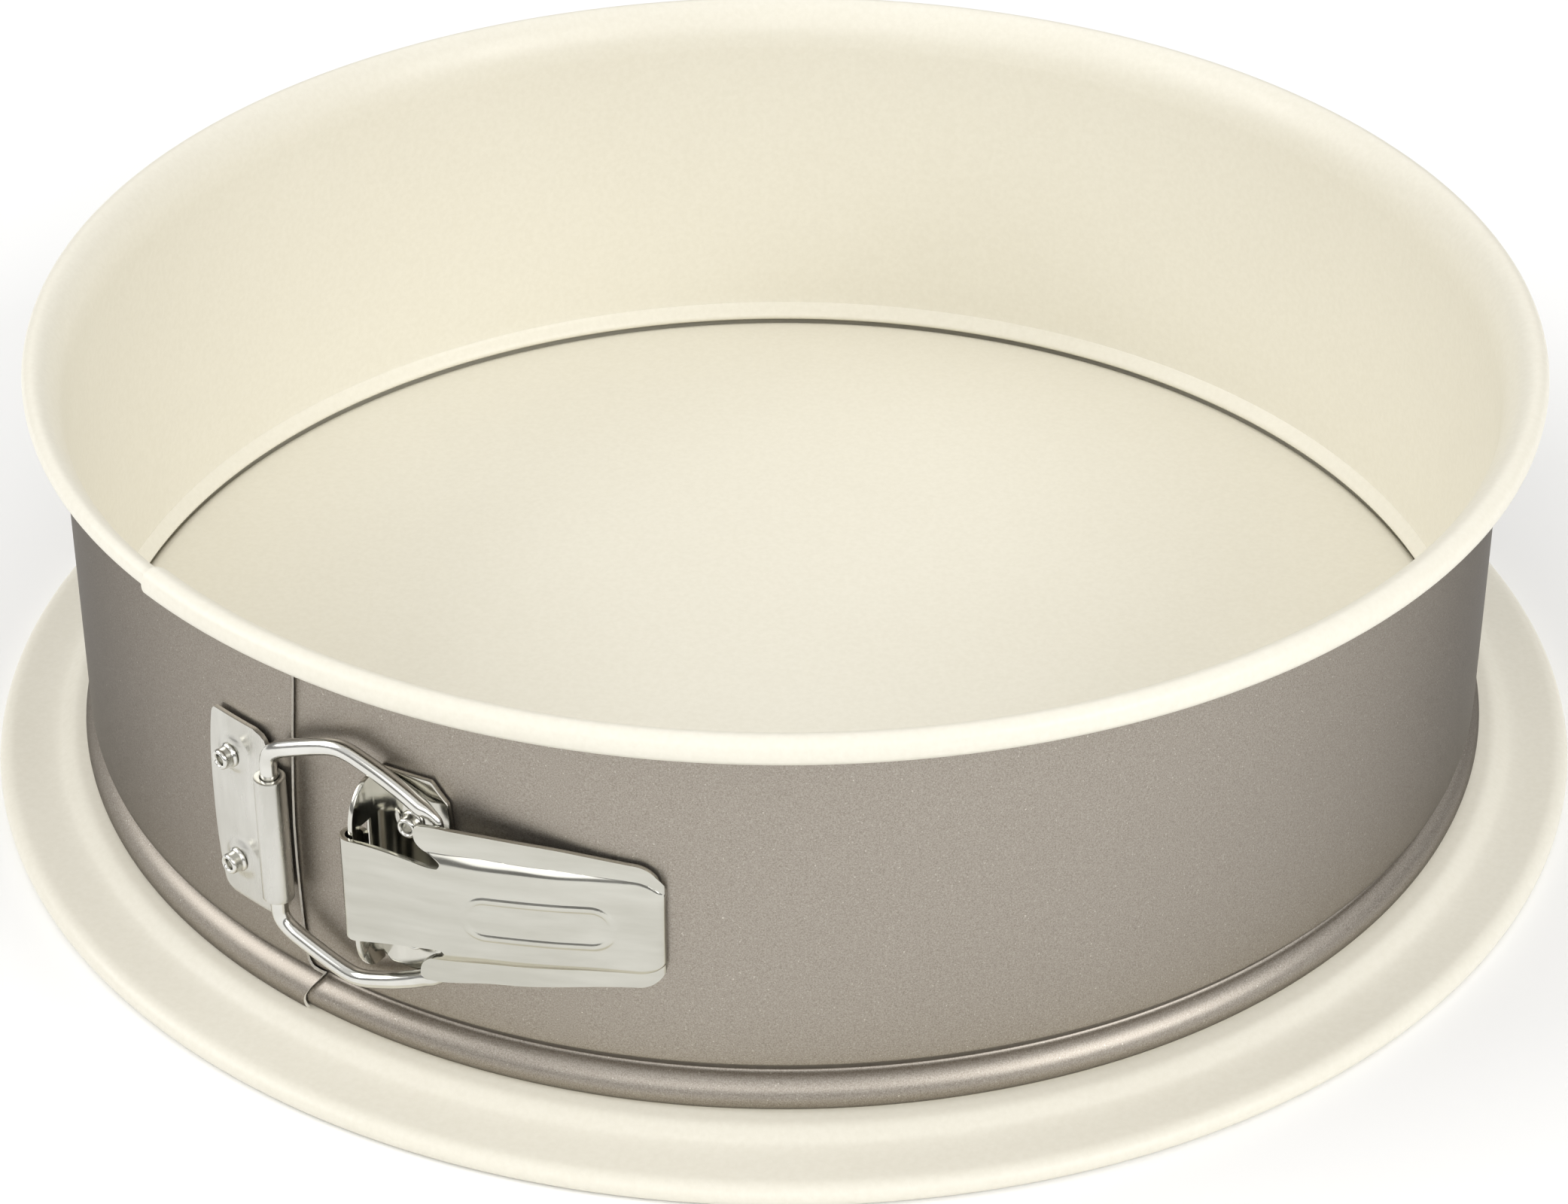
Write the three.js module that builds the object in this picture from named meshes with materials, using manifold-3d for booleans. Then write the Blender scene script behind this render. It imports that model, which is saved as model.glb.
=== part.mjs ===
// Springform pan: a flat base plate with a wide flange, a sprung ring and a lever clasp.
// Millimetres, +Z up. The origin is the centre of the circle that the flange stands on.
// Angles are degrees round the pan, measured from -Y towards -X.

import * as THREE from 'three';
import { mergeVertices } from 'three/addons/utils/BufferGeometryUtils.js';
import Module from 'manifold-3d';

const wasm = await Module();
wasm.setup();

// ---- driving dimensions -------------------------------------------------

const WALL_R = 130; // outside of the ring's wall
const SHEET = 0.6; // ring sheet
const RING_BOTTOM = 6.3;
const RIM_TOP = 84;
const OVERLAP = 1.2; // how far the outer tail of the ring stands off the inner one

const SEAM = 22; // end of the outer tail
const TAIL_END = 34; // end of the inner tail, hidden behind the outer one
const FLEX = 92; // the two places where the ring flexes, each side of the seam
const FLEX_GAP = 0.07;
const BLEND_START = 36; // the outer tail comes back to the wall's radius between these
const BLEND_END = 56;
const ANGLE_STEP = 5;

const FLANGE_R = 148.5;
const FLOOR_Z = 10.8;
const PLATE_EDGE_R = 129.2;

const CLASP_Z = 42.5; // mid height of the clasp
const PIVOT_R = 136.35; // the bar that the lever turns on
const PIVOT_ANGLE = 14.6;
const EAR_R = 133.7; // where the bail's ends meet the lever
const EAR_ANGLE = 8.35;
const KNUCKLE_R = 134.2; // where the bail turns in the hinge plate
const KNUCKLE_ANGLE = 22.9;

const WIRE_R = 1.45;
const WIRE_SIDES = 8;
const KNUCKLE_BORE_R = 1.75;
const KNUCKLE_OUTER_R = 2.6;
const KNUCKLE_HALF = 12.2;

const CURL_BORE_R = 1.5;
const LEVER_SHEET = 0.9;
const CURL_HALF = 10; // half height of the lever's curled end
const FACE_HALF = 8.3; // half height of the lever's raised face
const EAR_X = 11.1; // left edge of the ears, from the pivot
const EAR_HALF = 15.5;
const NOTCH_X = 15.2; // end of the notches between the tongue and the ears

const HINGE_SHEET = 1;
const BRACKET_SHEET = 0.8;
const RIVET_R = 1.6;
const RIVET_HOLE_R = 1.9;

const COATING = 0xe9e6d8;
const TAUPE = 0x958a7b;
const NICKEL = 0xb9b7ab;

// ---- helpers ------------------------------------------------------------

const rad = THREE.MathUtils.degToRad;

function around(radius, angle) {
  return new THREE.Vector2(-radius * Math.sin(rad(angle)), -radius * Math.cos(rad(angle)));
}

function closedGeometry(positions, triangles) {
  const geometry = new THREE.BufferGeometry();
  geometry.setAttribute('position', new THREE.Float32BufferAttribute(positions, 3));
  geometry.setIndex(triangles);
  return geometry;
}

function solid(geometry) {
  const bare = geometry.clone();
  bare.deleteAttribute('normal');
  bare.deleteAttribute('uv');
  const merged = mergeVertices(bare, 1e-4);
  const vertProperties = new Float32Array(merged.attributes.position.array);
  const triVerts = new Uint32Array(merged.index.array);
  return new wasm.Manifold(new wasm.Mesh({ numProp: 3, vertProperties, triVerts }));
}

function geometryOf(manifold) {
  const mesh = manifold.getMesh();
  return closedGeometry(Array.from(mesh.vertProperties), Array.from(mesh.triVerts));
}

function joined(...geometries) {
  return geometryOf(geometries.map(solid).reduce((sum, next) => sum.add(next)));
}

function cut(geometry, ...tools) {
  return geometryOf(tools.map(solid).reduce((rest, tool) => rest.subtract(tool), solid(geometry)));
}

// Turns triangles inside out when they face inwards.
function facingOut(positions, triangles) {
  const corner = (i) => new THREE.Vector3().fromArray(positions, 3 * i);
  let volume = 0;
  for (let i = 0; i < triangles.length; i += 3) {
    const [a, b, c] = [corner(triangles[i]), corner(triangles[i + 1]), corner(triangles[i + 2])];
    volume += a.dot(b.cross(c));
  }
  return volume > 0 ? triangles : triangles.toReversed();
}

// A strip of sheet in section: both sides of a centre line, as one closed outline.
function stripOutline(centreLine, thickness) {
  const sides = [[], []];
  centreLine.forEach((point, i) => {
    const before = centreLine[Math.max(i - 1, 0)];
    const after = centreLine[Math.min(i + 1, centreLine.length - 1)];
    const along = [point.clone().sub(before), after.clone().sub(point)].filter((v) => v.length() > 0);
    const normals = along.map((v) => new THREE.Vector2(-v.y, v.x).normalize());
    const mean = normals.reduce((sum, n) => sum.add(n), new THREE.Vector2()).normalize();
    const mitre = Math.max(mean.dot(new THREE.Vector2(-along[0].y, along[0].x).normalize()), 0.6);
    sides[0].push(point.clone().addScaledVector(mean, thickness / 2 / mitre));
    sides[1].push(point.clone().addScaledVector(mean, -thickness / 2 / mitre));
  });
  return [...sides[0], ...sides[1].reverse()];
}

// Extrudes an outline in the XY plane from one height to another.
function prism(outline, low, high, holes = []) {
  const shape = new THREE.Shape(outline);
  shape.holes = holes.map((hole) => new THREE.Path(hole));
  const geometry = new THREE.ExtrudeGeometry(shape, { depth: high - low, bevelEnabled: false });
  return geometry.translate(0, 0, low);
}

function cylinder(radius, length, sides = 12) {
  return new THREE.CylinderGeometry(radius, radius, length, sides);
}

// Triangles over an outline, turning the same way as the outline does.
function sectionTriangles(outline) {
  const sense = Math.sign(THREE.ShapeUtils.area(outline));
  return THREE.ShapeUtils.triangulateShape(outline.map((p) => p.clone()), []).map(([a, b, c]) => {
    const turn = Math.sign(THREE.ShapeUtils.area([outline[a], outline[b], outline[c]]));
    return turn === sense ? [a, b, c] : [a, c, b];
  });
}

// A closed body through outlines with equal numbers of points; place(point, i) puts a point of
// outline i in space.
function loft(outlines, place) {
  const count = outlines[0].length;
  const last = (outlines.length - 1) * count;
  const positions = outlines.flatMap((outline, i) => outline.flatMap((point) => place(point, i)));
  const triangles = [];
  for (let start = 0; start < last; start += count) {
    for (let i = 0; i < count; i += 1) {
      const a = start + i;
      const b = start + ((i + 1) % count);
      triangles.push(a, a + count, b, b, a + count, b + count);
    }
  }
  sectionTriangles(outlines[0]).forEach(([a, b, c]) => triangles.push(a, b, c));
  sectionTriangles(outlines.at(-1)).forEach(([a, b, c]) => triangles.push(last + a, last + c, last + b));
  return closedGeometry(positions, facingOut(positions, triangles));
}

// Carries a shape drawn with +Y pointing out of the wall to its place round the pan.
function outwards(geometry, radius, angle, height) {
  const place = around(radius, angle);
  return geometry
    .rotateZ(Math.PI - rad(angle))
    .translate(place.x, place.y, height);
}

// ---- base plate ---------------------------------------------------------

function basePlate() {
  const profile = [
    [0, FLOOR_Z], [126.6, FLOOR_Z], [128.2, 10.4], [PLATE_EDGE_R, 9.2], [PLATE_EDGE_R, 6.4],
    [129.9, 5.9], [133.6, 5.9], [135.4, 5.2], [137.4, 4.3], [140.4, 3.8], [144, 3.6],
    [146.3, 3.5], [147.8, 2.8], [FLANGE_R, 1.4], [147.9, 0], [146.3, 0], [145.9, 0.8],
    [146.4, 1.6], [145.4, 2.5], [140, 2.8], [136.4, 3.4], [133.4, 4.9], [128.9, 4.9],
    [128.2, 5.6], [128.2, 8.8], [127.6, 9.5], [126.2, 9.8], [0, 9.8],
  ];
  const points = profile.map(([r, z]) => new THREE.Vector2(r, z)).reverse();
  return new THREE.LatheGeometry(points, 360 / ANGLE_STEP).rotateX(Math.PI / 2);
}

// ---- ring ---------------------------------------------------------------

const WALL_MID = WALL_R - SHEET / 2;

// Centre line of the sheet in section, from the bottom edge up to the end of the rolled rim.
const PLAIN_SECTION = [
  [WALL_MID + 0.6, RING_BOTTOM], [WALL_MID + 1.1, 7.6], [WALL_MID + 1.3, 9],
  [WALL_MID + 0.8, 10.4], [WALL_MID - 1.1, 11.8], [WALL_MID - 1.7, 12.8],
  [WALL_MID - 0.5, 14.2], [WALL_MID, 15.8], [WALL_MID, RIM_TOP - 7.5],
  [WALL_MID + 0.5, RIM_TOP - 5], [WALL_MID + 1.8, RIM_TOP - 2.7], [WALL_MID + 3.5, RIM_TOP - 1],
  [WALL_MID + 5.2, RIM_TOP - 0.3], [WALL_MID + 6.6, RIM_TOP - 0.9], [WALL_MID + 7.2, RIM_TOP - 2.4],
  [WALL_MID + 7, RIM_TOP - 4], [WALL_MID + 6.2, RIM_TOP - 4.9],
];

// The same points on the outer tail, whose smaller rim lies inside the rolled rim of the inner one.
const OUTER_WALL = WALL_MID + OVERLAP;
const OUTER_TAIL_SECTION = [
  [OUTER_WALL + 0.6, RING_BOTTOM], [OUTER_WALL + 1.1, 7.7], [OUTER_WALL + 1.3, 9.2],
  [OUTER_WALL + 0.9, 10.7], [OUTER_WALL - 0.5, 12.1], [OUTER_WALL - 1.2, 13.1],
  [OUTER_WALL - 0.3, 14.5], [OUTER_WALL, 16], [OUTER_WALL, RIM_TOP - 8.5],
  [OUTER_WALL + 0.3, RIM_TOP - 6.6], [OUTER_WALL + 1.3, RIM_TOP - 4.8], [OUTER_WALL + 2.45, RIM_TOP - 3],
  [OUTER_WALL + 2.75, RIM_TOP - 2.1], [OUTER_WALL + 3.55, RIM_TOP - 1.85],
  [OUTER_WALL + 4.25, RIM_TOP - 2.4], [OUTER_WALL + 4.2, RIM_TOP - 3.3], [OUTER_WALL + 3.6, RIM_TOP - 3.7],
];

// 0 on the outer tail, 1 on the rest of the ring.
function plainness(angle) {
  return THREE.MathUtils.smoothstep(angle, BLEND_START, BLEND_END);
}

function ringSection(share) {
  const centreLine = PLAIN_SECTION.map(([r, z], i) => {
    const [outerR, outerZ] = OUTER_TAIL_SECTION[i];
    return new THREE.Vector2(THREE.MathUtils.lerp(outerR, r, share), THREE.MathUtils.lerp(outerZ, z, share));
  });
  return stripOutline(centreLine, SHEET);
}

function ringPiece(startAngle, endAngle, shareAt) {
  const steps = Math.ceil((endAngle - startAngle) / ANGLE_STEP);
  const angleAt = (i) => THREE.MathUtils.lerp(startAngle, endAngle, i / steps);
  const angles = Array.from({ length: steps + 1 }, (_, i) => angleAt(i));
  return loft(angles.map((angle) => ringSection(shareAt(angle))), (point, i) => {
    const place = around(point.x, angles[i]);
    return [place.x, place.y, point.y];
  });
}

// ---- rivets -------------------------------------------------------------

// Drawn along +Y, which points out of the wall. Zero is the plate's outer surface.
function rivet(shankLength, innerHeadR) {
  const section = [
    [0, -shankLength], [RIVET_R, -shankLength], [RIVET_R, 0.25], [3.1, 0.25], [2.7, 0.9],
    [1.9, 1.2], [1.9, 2.5], [1.5, 2.8], [0.9, 2.8], [0.9, 0.8], [0, 0.8],
  ];
  if (innerHeadR > 0) {
    const top = 0.7 - shankLength;
    section.splice(1, 1, [innerHeadR, -shankLength], [innerHeadR, top], [RIVET_R, top]);
  }
  return new THREE.LatheGeometry(section.map(([r, y]) => new THREE.Vector2(r, y)), 12);
}

const HINGE_RIVETS = { angle: 27.5, heights: [CLASP_Z + 11.1, CLASP_Z - 10.3] };
const BRACKET_RIVETS = { angle: 10.9, heights: [CLASP_Z + 12.6, CLASP_Z - 10] };

function rivetHoles(radius, { angle, heights }) {
  return heights.map((height) => outwards(cylinder(RIVET_HOLE_R, 8), radius, angle, height));
}

// ---- hinge plate and bail ----------------------------------------------

const HINGE_PLATE_R = KNUCKLE_R - KNUCKLE_OUTER_R; // back of the plate

function arcPoints(radius, from, to, steps) {
  return Array.from({ length: steps + 1 }, (_, i) => around(radius, from + ((to - from) * i) / steps));
}

function hingePlate() {
  const [left, right] = [30.4, KNUCKLE_ANGLE + 1];
  const inner = arcPoints(HINGE_PLATE_R, left, right, 4);
  const outer = arcPoints(HINGE_PLATE_R + HINGE_SHEET, right, left, 4);
  const leaf = prism([...inner, ...outer], CLASP_Z - 18.6, CLASP_Z + 18.2);
  const corner = (side) => outwards(
    new THREE.BoxGeometry(8, 8, 8).rotateY(Math.PI / 4),
    HINGE_PLATE_R,
    KNUCKLE_ANGLE + 0.4,
    CLASP_Z + side * 19.8,
  );
  const axis = around(KNUCKLE_R, KNUCKLE_ANGLE);
  const middle = (KNUCKLE_OUTER_R + KNUCKLE_BORE_R) / 2;
  const curl = Array.from({ length: 15 }, (_, i) => {
    const turn = rad(90 - KNUCKLE_ANGLE - i * 22.5);
    return new THREE.Vector2(axis.x + middle * Math.cos(turn), axis.y + middle * Math.sin(turn));
  });
  const start = around(HINGE_PLATE_R + HINGE_SHEET / 2, KNUCKLE_ANGLE + 1.3);
  const knuckle = prism(
    stripOutline([start, ...curl], KNUCKLE_OUTER_R - KNUCKLE_BORE_R),
    CLASP_Z - KNUCKLE_HALF,
    CLASP_Z + KNUCKLE_HALF,
  );
  const holes = rivetHoles(HINGE_PLATE_R, HINGE_RIVETS);
  return cut(joined(cut(leaf, corner(1), corner(-1)), knuckle), ...holes);
}

// The bail lies in an upright plane through the knuckle and the ears.
function wireBail() {
  const start = around(KNUCKLE_R, KNUCKLE_ANGLE);
  const end = around(EAR_R, EAR_ANGLE);
  const span = start.distanceTo(end);
  const along = end.clone().sub(start).normalize();
  const half = [
    [span + 0.9, EAR_HALF + 1.8], [span - 1.2, EAR_HALF + 1.8], [span - 2.6, EAR_HALF + 2.1],
    [span - 4.8, 18.3], [span - 9, 20.2], [span - 13, 21.7], [span - 17, 22.9], [span - 19, 23.1],
    [span - 21.2, 22.7], [8.5, 21.2], [4.4, 19.4], [2, 18.2], [0.6, 16.9], [0, 15.2], [0, 12],
  ];
  const point = ([u, height]) => {
    const place = start.clone().addScaledVector(along, u);
    return new THREE.Vector3(place.x, place.y, CLASP_Z + height);
  };
  const points = [...half.map(point), ...half.toReversed().map(([u, height]) => point([u, -height]))];
  const path = new THREE.CatmullRomCurve3(points, false, 'centripetal');
  const section = new THREE.Shape();
  section.absarc(0, 0, WIRE_R, 0, 2 * Math.PI);
  return new THREE.ExtrudeGeometry(section, {
    extrudePath: path,
    steps: 56,
    curveSegments: WIRE_SIDES / 2,
    bevelEnabled: false,
  });
}

// ---- bracket and lever --------------------------------------------------

const BRACKET_R = WALL_R + 0.4; // back of the bracket

// A plate riveted to the wall and a slotted flange standing out from it.
function leverBracket() {
  const [left, right] = [PIVOT_ANGLE + 0.15, 8];
  const [middle, half] = [CLASP_Z + 1.2, 19.8];
  const inner = arcPoints(BRACKET_R, left, right, 4);
  const outer = arcPoints(BRACKET_R + BRACKET_SHEET, right, left, 4);
  const leaf = prism([...inner, ...outer], middle - half, middle + half);
  const corner = (angle, height) => outwards(
    new THREE.BoxGeometry(8, 8, 8).rotateY(Math.PI / 4),
    BRACKET_R,
    angle,
    height,
  );
  const corners = [-1, 1].flatMap((side) => [
    corner(left, middle + side * (half + 3.7)),
    corner(right, middle + side * (half + 1.9)),
  ]);
  const reach = PIVOT_R + 1.05 - BRACKET_R;
  const curve = Array.from({ length: 7 }, (_, i) => {
    const turn = rad(90 - 15 * i);
    return [1.5 + (reach - 1.5) * Math.cos(turn), 11.4 + 7.2 * Math.sin(turn)];
  });
  curve.unshift([0, 18.6]);
  const upper = curve.map(([out, height]) => new THREE.Vector2(out, height));
  const lower = curve.toReversed().map(([out, height]) => new THREE.Vector2(out, -height));
  const slot = [[2, -10.7], [reach - 2.1, -10.7], [reach - 2.1, 10.7], [2, 10.7]];
  const flange = prism([...upper, ...lower], -0.5, 0.5, [slot.map(([x, y]) => new THREE.Vector2(x, y))]);
  flange.rotateX(Math.PI / 2).rotateZ(Math.PI / 2);
  outwards(flange, BRACKET_R, PIVOT_ANGLE, CLASP_Z);
  const holes = rivetHoles(BRACKET_R, BRACKET_RIVETS);
  return cut(joined(cut(leaf, ...corners), flange), ...holes);
}

// The lever is drawn from the pivot: +X along it, +Y towards the wall.

// Its tongue's middle line after the curl, with the half height at each point: x, y, half.
const TONGUE = [
  [2.4, -1.9, 9.7], [6.4, -2.1, 9.2], [10.4, -2.5, 8.7], [13.4, -2.8, 8.2], [NOTCH_X + 0.7, -2.85, 8.1],
];

// Its front in section at places along it: the raised face, the shoulder, and the side flange.
// x, y of the face, half height of the shoulder, y of the flange, half height of the flange.
const FRONT = [
  [EAR_X, -3.0, 10.7, -1.6, EAR_HALF - 0.2], [14.4, -2.88, 10.7, -1.45, EAR_HALF],
  [NOTCH_X, -2.85, 10.7, -1.4, EAR_HALF], [22.4, -2.3, 10.5, -1.0, 14.6], [28.4, -1.7, 10.2, -0.65, 14.4],
  [34.4, -0.9, 9.8, 0.1, 13.75], [40.4, 0.2, 9.4, 0.85, 12.9], [46.4, 1.05, 9.2, 1.45, 11.9],
  [48.8, 1.3, 9, 1.6, 11.1], [50.6, 1.45, 8.4, 1.7, 9.9], [51.9, 1.6, 7.6, 1.75, 8.7],
];

function leverTongue() {
  const middle = CURL_BORE_R + LEVER_SHEET / 2;
  const curl = Array.from({ length: 12 }, (_, i) => {
    const turn = rad(22.5 + i * 22.5);
    return [middle * Math.cos(turn), middle * Math.sin(turn), CURL_HALF];
  });
  const stations = [...curl, ...TONGUE];
  const sides = stripOutline(stations.map(([x, y]) => new THREE.Vector2(x, y)), LEVER_SHEET);
  const outlines = stations.map(([, , half]) => [
    new THREE.Vector2(-1, -half),
    new THREE.Vector2(1, -half),
    new THREE.Vector2(1, half),
    new THREE.Vector2(-1, half),
  ]);
  return loft(outlines, (point, i) => {
    const edge = point.x < 0 ? sides[i] : sides[sides.length - 1 - i];
    return [edge.x, edge.y, point.y];
  });
}

function leverFront() {
  const outlines = FRONT.map(([, faceY, shoulderHalf, flangeY, edgeHalf]) => {
    const faceHalf = Math.min(FACE_HALF, shoulderHalf - 0.9);
    const upper = [[faceY, faceHalf], [flangeY - 0.15, shoulderHalf], [flangeY, edgeHalf]];
    const lower = upper.toReversed().map(([y, z]) => [y, -z]);
    return stripOutline([...lower, ...upper].map(([y, z]) => new THREE.Vector2(y, z)), LEVER_SHEET);
  });
  return loft(outlines, (point, i) => [FRONT[i][0], point.x, point.y]);
}

function lever() {
  const notch = prism(
    [[9, -11.2], [EAR_X + 1.5, -11.2], [NOTCH_X, -9.6], [NOTCH_X, 9.6], [EAR_X + 1.5, 11.2], [9, 11.2]]
      .map(([x, z]) => new THREE.Vector2(x, z)),
    -6,
    6,
  ).rotateX(Math.PI / 2);
  return joined(cut(leverFront(), notch), leverTongue());
}

// ---- assembly -----------------------------------------------------------

const pan = new THREE.Group();
const clasp = new THREE.Group();
pan.add(clasp);

function add(group, name, geometry, color, roughness, metalness) {
  const material = new THREE.MeshStandardMaterial({ color, roughness, metalness });
  const mesh = new THREE.Mesh(geometry, material);
  mesh.name = name;
  group.add(mesh);
  return mesh;
}

add(pan, 'base_plate', basePlate(), COATING, 0.5, 0);

const leftRing = ringPiece(SEAM, SEAM + FLEX - FLEX_GAP, plainness);
const rearRing = ringPiece(SEAM + FLEX + FLEX_GAP, SEAM - FLEX + 360 - FLEX_GAP, () => 1);
const rightRing = ringPiece(SEAM - FLEX + FLEX_GAP, TAIL_END, () => 1);
add(pan, 'ring_left', cut(leftRing, ...rivetHoles(WALL_R, HINGE_RIVETS)), TAUPE, 0.45, 0.6);
add(pan, 'ring_rear', rearRing, TAUPE, 0.45, 0.6);
add(pan, 'ring_right', cut(rightRing, ...rivetHoles(WALL_R, BRACKET_RIVETS)), TAUPE, 0.45, 0.6);

add(clasp, 'hinge_plate', hingePlate(), NICKEL, 0.3, 1);
add(clasp, 'wire_bail', wireBail(), NICKEL, 0.25, 1);
add(clasp, 'lever_bracket', leverBracket(), NICKEL, 0.25, 1);
const leverMesh = add(clasp, 'lever', lever(), NICKEL, 0.3, 1);
const pivot = around(PIVOT_R, PIVOT_ANGLE);
leverMesh.position.set(pivot.x, pivot.y, CLASP_Z);

const RIVET_SETS = [
  { name: 'hinge_rivet', front: HINGE_PLATE_R + HINGE_SHEET, rivets: HINGE_RIVETS, piece: rivet(2, 0) },
  { name: 'bracket_rivet', front: BRACKET_R + BRACKET_SHEET, rivets: BRACKET_RIVETS, piece: rivet(3.2, 3) },
];
for (const { name, front, rivets, piece } of RIVET_SETS) {
  ['upper', 'lower'].forEach((place, i) => {
    const geometry = outwards(piece.clone(), front, rivets.angle, rivets.heights[i]);
    add(clasp, `${name}_${place}`, geometry, NICKEL, 0.25, 1);
  });
}

export default pan;
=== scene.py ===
"""Springform pan: fine meshes, materials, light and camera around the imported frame. Metres, +Z up.

Angles named *_ANGLE are degrees round the pan, measured from -Y towards -X.
Sections are lists of (radius or offset, height) in millimetres, turned into metres when a mesh is made.
"""
import math

import bmesh
import bpy
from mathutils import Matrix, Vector


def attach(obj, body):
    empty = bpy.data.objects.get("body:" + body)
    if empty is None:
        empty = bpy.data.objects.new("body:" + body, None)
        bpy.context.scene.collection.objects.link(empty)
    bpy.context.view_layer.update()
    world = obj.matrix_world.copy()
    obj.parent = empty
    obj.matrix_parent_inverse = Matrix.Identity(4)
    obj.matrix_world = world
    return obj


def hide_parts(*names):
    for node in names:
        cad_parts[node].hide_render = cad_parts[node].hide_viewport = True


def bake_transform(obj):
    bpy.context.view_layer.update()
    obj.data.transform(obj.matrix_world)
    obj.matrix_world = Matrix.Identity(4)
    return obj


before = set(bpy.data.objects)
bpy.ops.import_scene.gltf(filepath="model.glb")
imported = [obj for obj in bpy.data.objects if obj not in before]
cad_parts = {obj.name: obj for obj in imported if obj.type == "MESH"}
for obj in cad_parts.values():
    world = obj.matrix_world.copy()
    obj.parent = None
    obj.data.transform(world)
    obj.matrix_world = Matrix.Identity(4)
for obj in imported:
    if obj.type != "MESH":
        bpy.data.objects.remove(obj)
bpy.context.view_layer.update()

MM = 0.001

# ---- dimensions, in millimetres --------------------------------------------
# The layout is the CAD's. Sheets, wire and the gap between the tails are finer than the CAD's.

WALL_R = 130.0  # outside of the ring's wall
SHEET = 0.5  # ring sheet
RING_BOTTOM = 6.3
RIM_TOP = 84.0
SEAM_ANGLE = 22.0  # end of the outer tail
TAIL_END_ANGLE = 34.0  # end of the inner tail, hidden behind the outer one
TAIL_GAP = 0.35
TAIL_BLEND = (36.0, 104.0)  # the outer tail comes back to the wall's radius between these
RING_STEP = 0.75
EDGE_FADE = 1.2  # degrees over which the shape of the outer tail's end fades

PLATE_SHEET = 0.9
PLATE_FLOOR_Z = 10.35  # middle of the sheet
PLATE_SEGMENTS = 360

CLASP_Z = 42.5  # mid height of the clasp
PIVOT_R, PIVOT_ANGLE = 136.35, 14.6  # the bar that the lever turns on
EAR_R, EAR_ANGLE = 133.7, 8.35  # where the bail's ends meet the lever
KNUCKLE_R, KNUCKLE_ANGLE = 134.2, 22.9  # where the bail turns in the hinge plate
KNUCKLE_BORE_R, KNUCKLE_OUTER_R, KNUCKLE_HALF = 1.6, 2.7, 12.2
WIRE_R = 1.5
PIN_R = 0.85  # the wire's tapered end
PIN_TAPER = (0.5, 3.6)  # the taper runs between these distances from the ears' axis
CURL_BORE_R, CURL_HALF = 1.5, 10.0
LEVER_SHEET = 0.85
LEVER_END = 51.6  # from the pivot
LEVER_CROWN = 0.12
FACE_HALF = 8.2  # half height of the raised face
EAR_HALF = 15.5
NOTCH_X = 15.2  # end of the notches between the tongue and the ears
SHOULDER_POWER, SHOULDER_LIP = 1.6, 0.15
CORNER_X, CORNER_Z = 4.6, 4.2
FACE_CORNER, FOOT_CORNER = 0.5, 0.7  # shares of the corner's cut that reach the face and the shoulder's foot
END_BEND_LENGTH, END_BEND_DEPTH = 1.1, 0.75
CLASP_SHEET = 0.9
BOSS_R, HINGE_BOSS, BRACKET_BOSS = 4.2, 0.8, 0.6
HINGE_RIVETS = {"angle": 27.5, "upper": CLASP_Z + 11.1, "lower": CLASP_Z - 10.3}
BRACKET_RIVETS = {"angle": 10.9, "upper": CLASP_Z + 12.6, "lower": CLASP_Z - 10.0}
BRACKET_R = WALL_R + 0.35  # back of the bracket
HINGE_PLATE_R = KNUCKLE_R - KNUCKLE_OUTER_R  # back of the hinge plate

# The hinge plate's leaf, from the clasp's mid height: its ends, its left edge and how far that edge bows.
HINGE_BOTTOM, HINGE_TOP, HINGE_LEFT_ANGLE = -18.8, 18.3, 30.35
HINGE_BOW, HINGE_BOW_HALF, HINGE_BOW_POWER = 1.7, 18.5, 2.6
HINGE_LEFT_CORNER, HINGE_LEFT_CORNER_Z = 1.8, 17.0
HINGE_TOP_CORNER, HINGE_BOTTOM_CORNER = 3.2, 2.0

# The bracket's leaf, with cut corners and a right edge that slants at its ends.
BRACKET_RIGHT_ANGLE, BRACKET_WIDTH, BRACKET_HALF, BRACKET_RAISE = 8.0, 15.3, 19.8, 1.2
BRACKET_CUT_LEFT, BRACKET_CUT_RIGHT, BRACKET_CUT_SLOPE = 2.0, 3.6, 1.25
BRACKET_SLANT, BRACKET_SLANT_Z = 0.7, (12.0, 19.0)
# Its flange, from the back of the leaf.
FLANGE_REACH = PIVOT_R + 1.05 - BRACKET_R
FLANGE_FOOT, FLANGE_HALF = (0.3, 18.6), 11.4
FLANGE_CORNER_X, FLANGE_CORNER_Z = 1.5, 7.2
SLOT_HALF, SLOT_INNER, SLOT_OUTER = 10.7, 2.0, 2.1


# ---- helpers ---------------------------------------------------------------


def around(radius, angle, height=0.0):
    a = math.radians(angle)
    return Vector((-radius * math.sin(a), -radius * math.cos(a), height))


def smooth(value, low, high):
    t = min(max((value - low) / (high - low), 0.0), 1.0)
    return t * t * (3 - 2 * t)


def mix(a, b, share):
    return a + (b - a) * share


def curve_through(points, per_span=6):
    """A smooth line through the given points (Catmull-Rom)."""
    pts = [Vector(p) for p in points]
    ends = [pts[0] * 2 - pts[1], *pts, pts[-1] * 2 - pts[-2]]
    out = []
    for i in range(1, len(ends) - 2):
        p0, p1, p2, p3 = ends[i - 1 : i + 3]
        for k in range(per_span):
            t = k / per_span
            out.append(
                0.5 * (2 * p1 + (p2 - p0) * t + (2 * p0 - 5 * p1 + 4 * p2 - p3) * t**2
                       + (3 * p1 - 3 * p2 + p3 - p0) * t**3)
            )
    out.append(pts[-1])
    return out


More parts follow.
